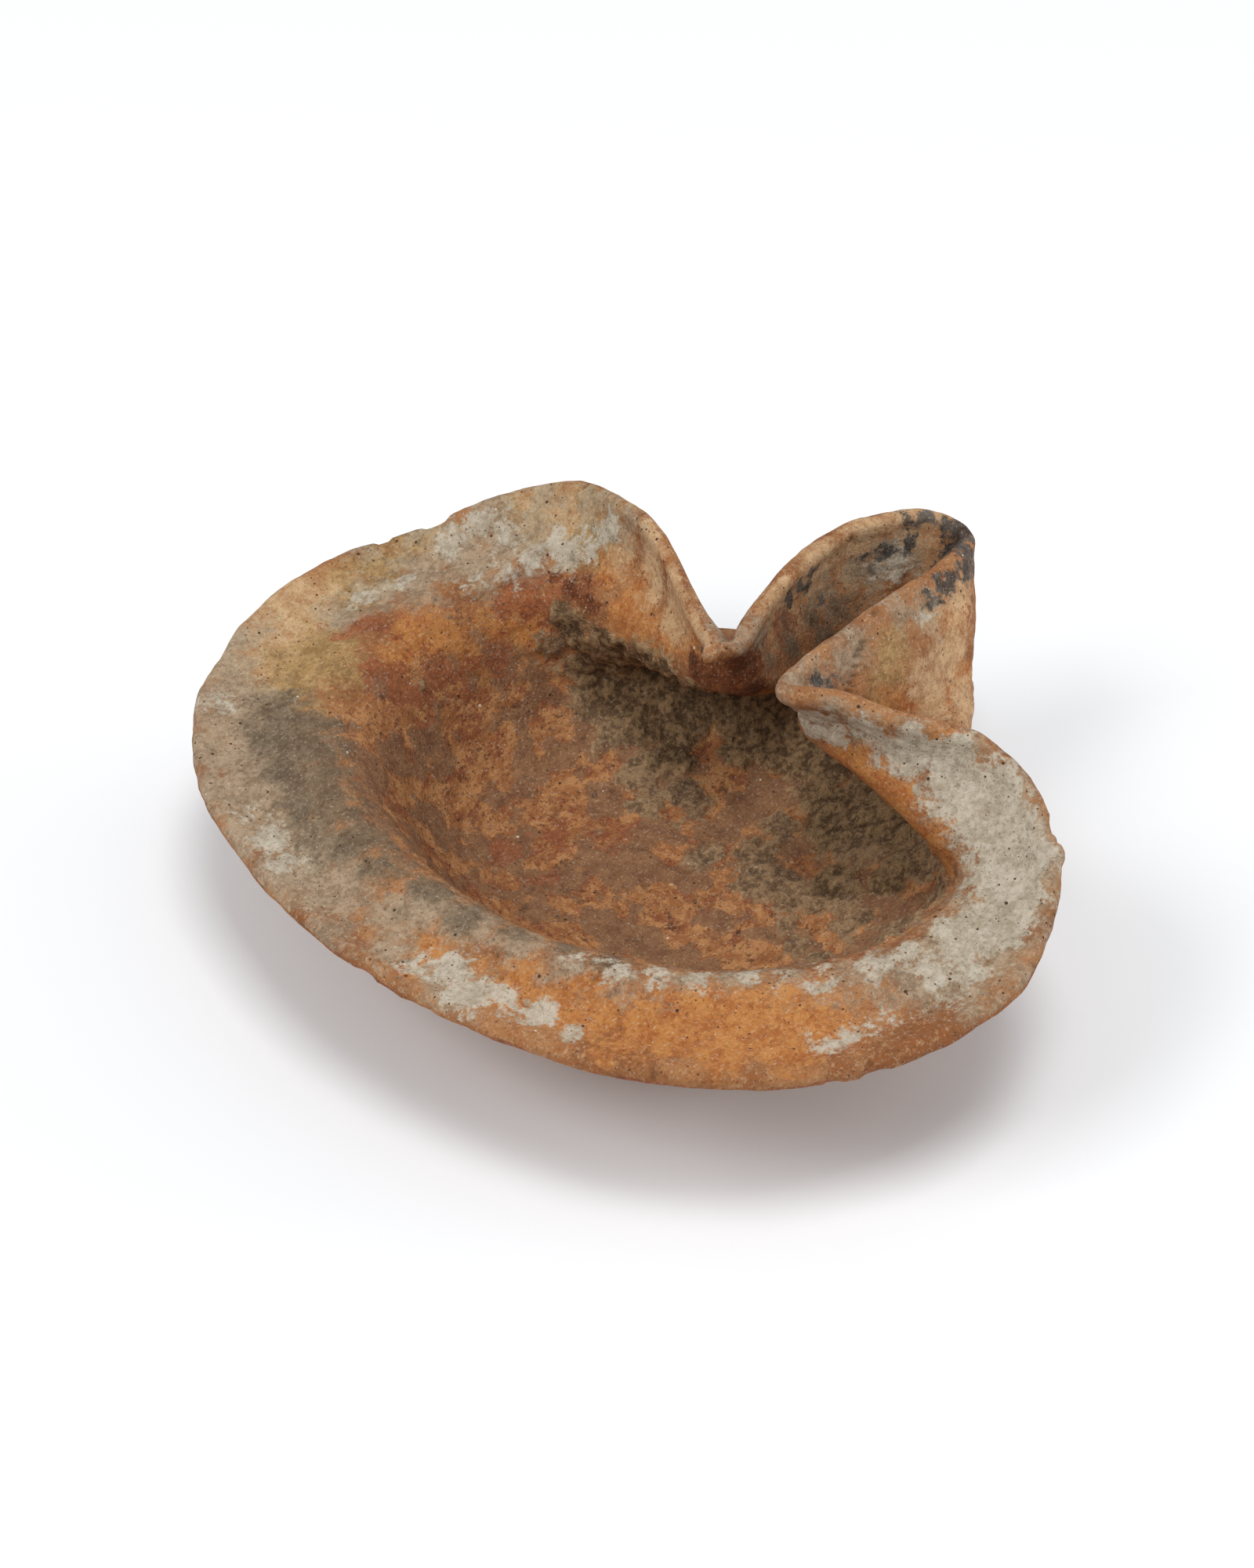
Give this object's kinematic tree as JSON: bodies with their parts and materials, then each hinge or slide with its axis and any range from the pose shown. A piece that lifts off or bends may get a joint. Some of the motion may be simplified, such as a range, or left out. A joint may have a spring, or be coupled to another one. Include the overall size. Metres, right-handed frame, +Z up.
{
  "type": "pinched saucer oil lamp",
  "caption": "Open saucer lamp of fired earthenware: shallow bowl with a wide flanged rim, folded at the front into a pinched open nozzle for a wick.",
  "frame": {"origin": "centre of the flat underside, on the surface the lamp stands on", "axes": "+X along the nozzle, +Y to the left lobe, +Z up"},
  "size_m": [0.1268, 0.1423, 0.0476],
  "materials": {
    "earthenware": "fired orange earthenware, dull and rough, with dark mineral specks, pale lime crust and brown burial crust"
  },
  "bodies": {
    "root": {"lamp": "earthenware"}
  },
  "joints": []
}
